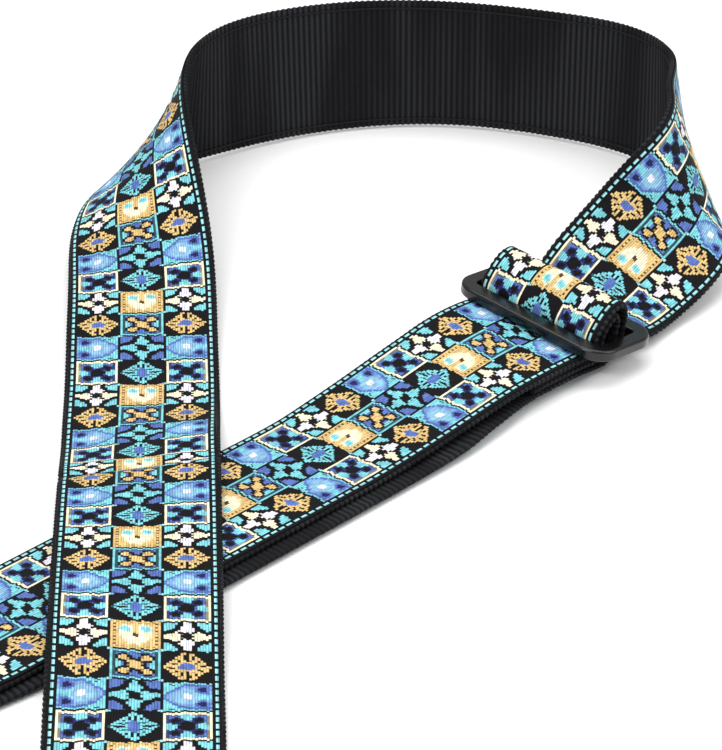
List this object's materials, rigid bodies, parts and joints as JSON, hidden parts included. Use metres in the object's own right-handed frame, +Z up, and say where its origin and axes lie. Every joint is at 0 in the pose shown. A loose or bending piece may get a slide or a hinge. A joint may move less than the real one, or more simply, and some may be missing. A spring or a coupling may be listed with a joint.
{
  "type": "guitar strap",
  "caption": "Woven guitar strap laid in a loop, with leather ends, a three-bar slider and a strap end that runs back from a ring and is sewn round the slider's centre bar.",
  "frame": {"origin": "centre of the front leather end's button hole, on the ground the strap lies on", "axes": "+Z up; +Y from the front end towards the standing loop; the rear end points towards -X"},
  "size_m": [0.3773, 0.6248, 0.0566],
  "materials": {
    "webbing": "ribbed weave",
    "jacquard": "woven pattern of turquoise, blue, gold and cream on black",
    "thread": "twisted thread",
    "leather": "smooth grain",
    "slider": "moulded",
    "ring": "black coated wire"
  },
  "bodies": {
    "main_strap": {"main_backing": "webbing", "main_face": "jacquard", "main_edge_stitching": "thread", "lead_backing": "webbing", "lead_face": "jacquard"},
    "front_end": {"front_end_backing": "webbing", "front_end_face": "jacquard", "front_tab_top": "leather", "front_tab_bottom": "leather", "front_tab_stitching": "thread"},
    "slider": {"slider": "slider", "arch_backing": "webbing", "arch_face": "jacquard", "sewn_end_backing": "webbing", "sewn_end_face": "jacquard", "sewn_end_stitching": "thread", "run_backing": "webbing", "run_face": "jacquard", "return_backing": "webbing", "return_face": "jacquard"},
    "turn": {"turn_backing": "webbing", "turn_face": "jacquard"},
    "rear_ring": {"rear_ring": "ring"},
    "rear_tab": {"rear_tab": "leather", "rear_tab_stitching": "thread"}
  },
  "joints": [
    {"name": "front_end_flex", "type": "hinge", "parent": "main_strap", "child": "front_end", "pos_m": [-0.00417, 0.09191, 0.0041], "axis": [-0.999, -0.0454, 0], "range_deg": [0, 90]},
    {"name": "slider_slide", "type": "slide", "parent": "main_strap", "child": "slider", "axis": [-0.673, -0.7396, 0], "range_m": [-0.01, 0.06], "deforming": ["lead_backing", "lead_face", "run_backing", "run_face", "return_backing", "return_face"]},
    {"name": "turn_slide", "type": "slide", "parent": "slider", "child": "turn", "axis": [-0.673, -0.7396, 0], "range_m": [-0.03, 0.005], "deforming": ["run_backing", "run_face", "return_backing", "return_face"]},
    {"name": "rear_ring_swing", "type": "hinge", "parent": "turn", "child": "rear_ring", "pos_m": [-0.0844, 0.20131, 0.00505], "axis": [-0.7396, 0.673, 0], "range_deg": [0, 90]},
    {"name": "rear_tab_swing", "type": "hinge", "parent": "rear_ring", "child": "rear_tab", "pos_m": [-0.09315, 0.1917, 0.00505], "axis": [-0.7396, 0.673, 0], "range_deg": [0, 60]}
  ],
  "couplings": [
    {"joint": "turn_slide", "follows": "slider_slide", "ratio": -0.5}
  ]
}
